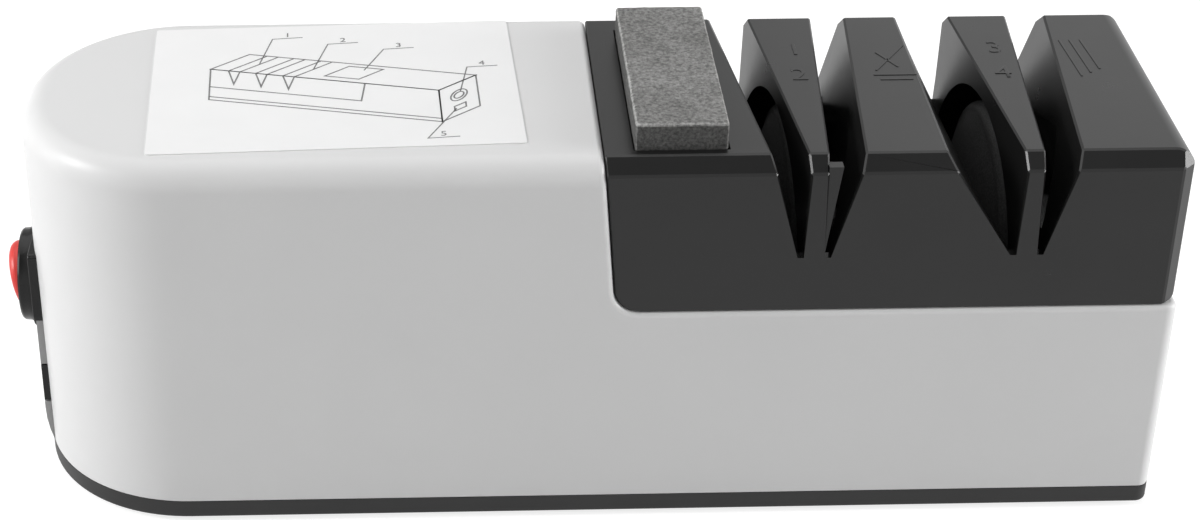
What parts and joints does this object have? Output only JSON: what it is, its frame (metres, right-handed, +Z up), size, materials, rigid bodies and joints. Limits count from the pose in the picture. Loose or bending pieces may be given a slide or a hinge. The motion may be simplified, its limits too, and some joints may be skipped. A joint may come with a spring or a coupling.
{
  "type": "electric knife sharpener",
  "caption": "Tabletop electric knife sharpener: white housing, black guide module with V slots over grinding wheels, whetstone on top, rocker switch and mains inlet at the round end.",
  "frame": {"origin": "on the standing surface, under the middle of the whole part's bounding box", "axes": "+X along the body from the switch end to the slot end, -Y towards the user, +Z up"},
  "size_m": [0.2258, 0.065, 0.0844],
  "materials": {
    "white_plastic": "smooth injection-moulded white plastic, semi-gloss",
    "black_plastic": "satin black moulded plastic",
    "dark_plastic": "matte dark grey moulded plastic",
    "grey_plastic": "satin mid grey moulded plastic",
    "gloss_black": "glossy black switch plastic",
    "red_plastic": "glossy translucent red plastic",
    "card": "matte coated paper card with a thin line drawing",
    "whetstone": "fine pressed abrasive grain, speckled grey",
    "grit_wheel": "dark abrasive grit on a metal core",
    "steel": "ground and plated steel",
    "brass": "plain brass and copper",
    "ferrite": "sintered ferrite and carbon, dull",
    "board": "green laminate circuit board",
    "capacitor": "blue sleeve",
    "rubber": "soft black rubber",
    "lead": "insulated wire"
  },
  "bodies": {
    "housing": {"body_shell": "white_plastic", "guide_module": "black_plastic", "base_plate": "dark_plastic", "rear_panel": "grey_plastic", "label_card": "card", "whetstone": "whetstone", "switch_housing": "gloss_black", "power_inlet": "gloss_black", "circuit_board": "board", "capacitor": "capacitor", "motor_can": "steel", "motor_end_cap": "dark_plastic", "motor_strap": "steel", "front_bearing": "steel", "end_bearing": "steel", "front_bearing_cap": "dark_plastic", "end_bearing_cap": "dark_plastic", "lead_inlet_to_board": "lead", "lead_inlet_to_switch": "lead", "lead_switch_to_board": "lead", "lead_motor_1": "lead", "lead_motor_2": "lead", "rubber_foot_1": "rubber", "rubber_foot_2": "rubber", "rubber_foot_3": "rubber", "rubber_foot_4": "rubber", "switch_terminal_1": "brass", "switch_terminal_2": "brass", "inlet_pin_1": "brass", "inlet_pin_2": "brass", "stator_magnet_1": "ferrite", "stator_magnet_2": "ferrite", "carbon_brush_1": "ferrite", "carbon_brush_2": "ferrite", "strap_screw_1": "steel", "strap_screw_2": "steel", "front_cap_screw_1": "steel", "front_cap_screw_2": "steel", "end_cap_screw_1": "steel", "end_cap_screw_2": "steel", "left_module_screw_1": "steel", "left_module_screw_2": "steel", "right_module_screw_1": "steel", "right_module_screw_2": "steel", "rear_base_screw_1": "steel", "rear_base_screw_2": "steel", "front_base_screw_1": "steel", "front_base_screw_2": "steel"},
    "rotor": {"armature": "brass", "commutator": "brass", "motor_shaft": "steel", "cooling_fan": "dark_plastic", "shaft_coupling": "brass", "spindle": "steel", "coarse_wheel": "grit_wheel", "fine_wheel": "grit_wheel", "wheel_spacer": "steel", "spindle_nut": "steel"},
    "rocker": {"rocker": "red_plastic"}
  },
  "joints": [
    {"name": "rotor_spin", "type": "hinge", "parent": "housing", "child": "rotor", "pos_m": [0, 0, 0.0455], "axis": [1, 0, 0], "continuous": true},
    {"name": "rocker_tilt", "type": "hinge", "parent": "housing", "child": "rocker", "pos_m": [-0.10887, 0, 0.0383], "axis": [0, 1, 0], "range_deg": [0, 24]}
  ]
}
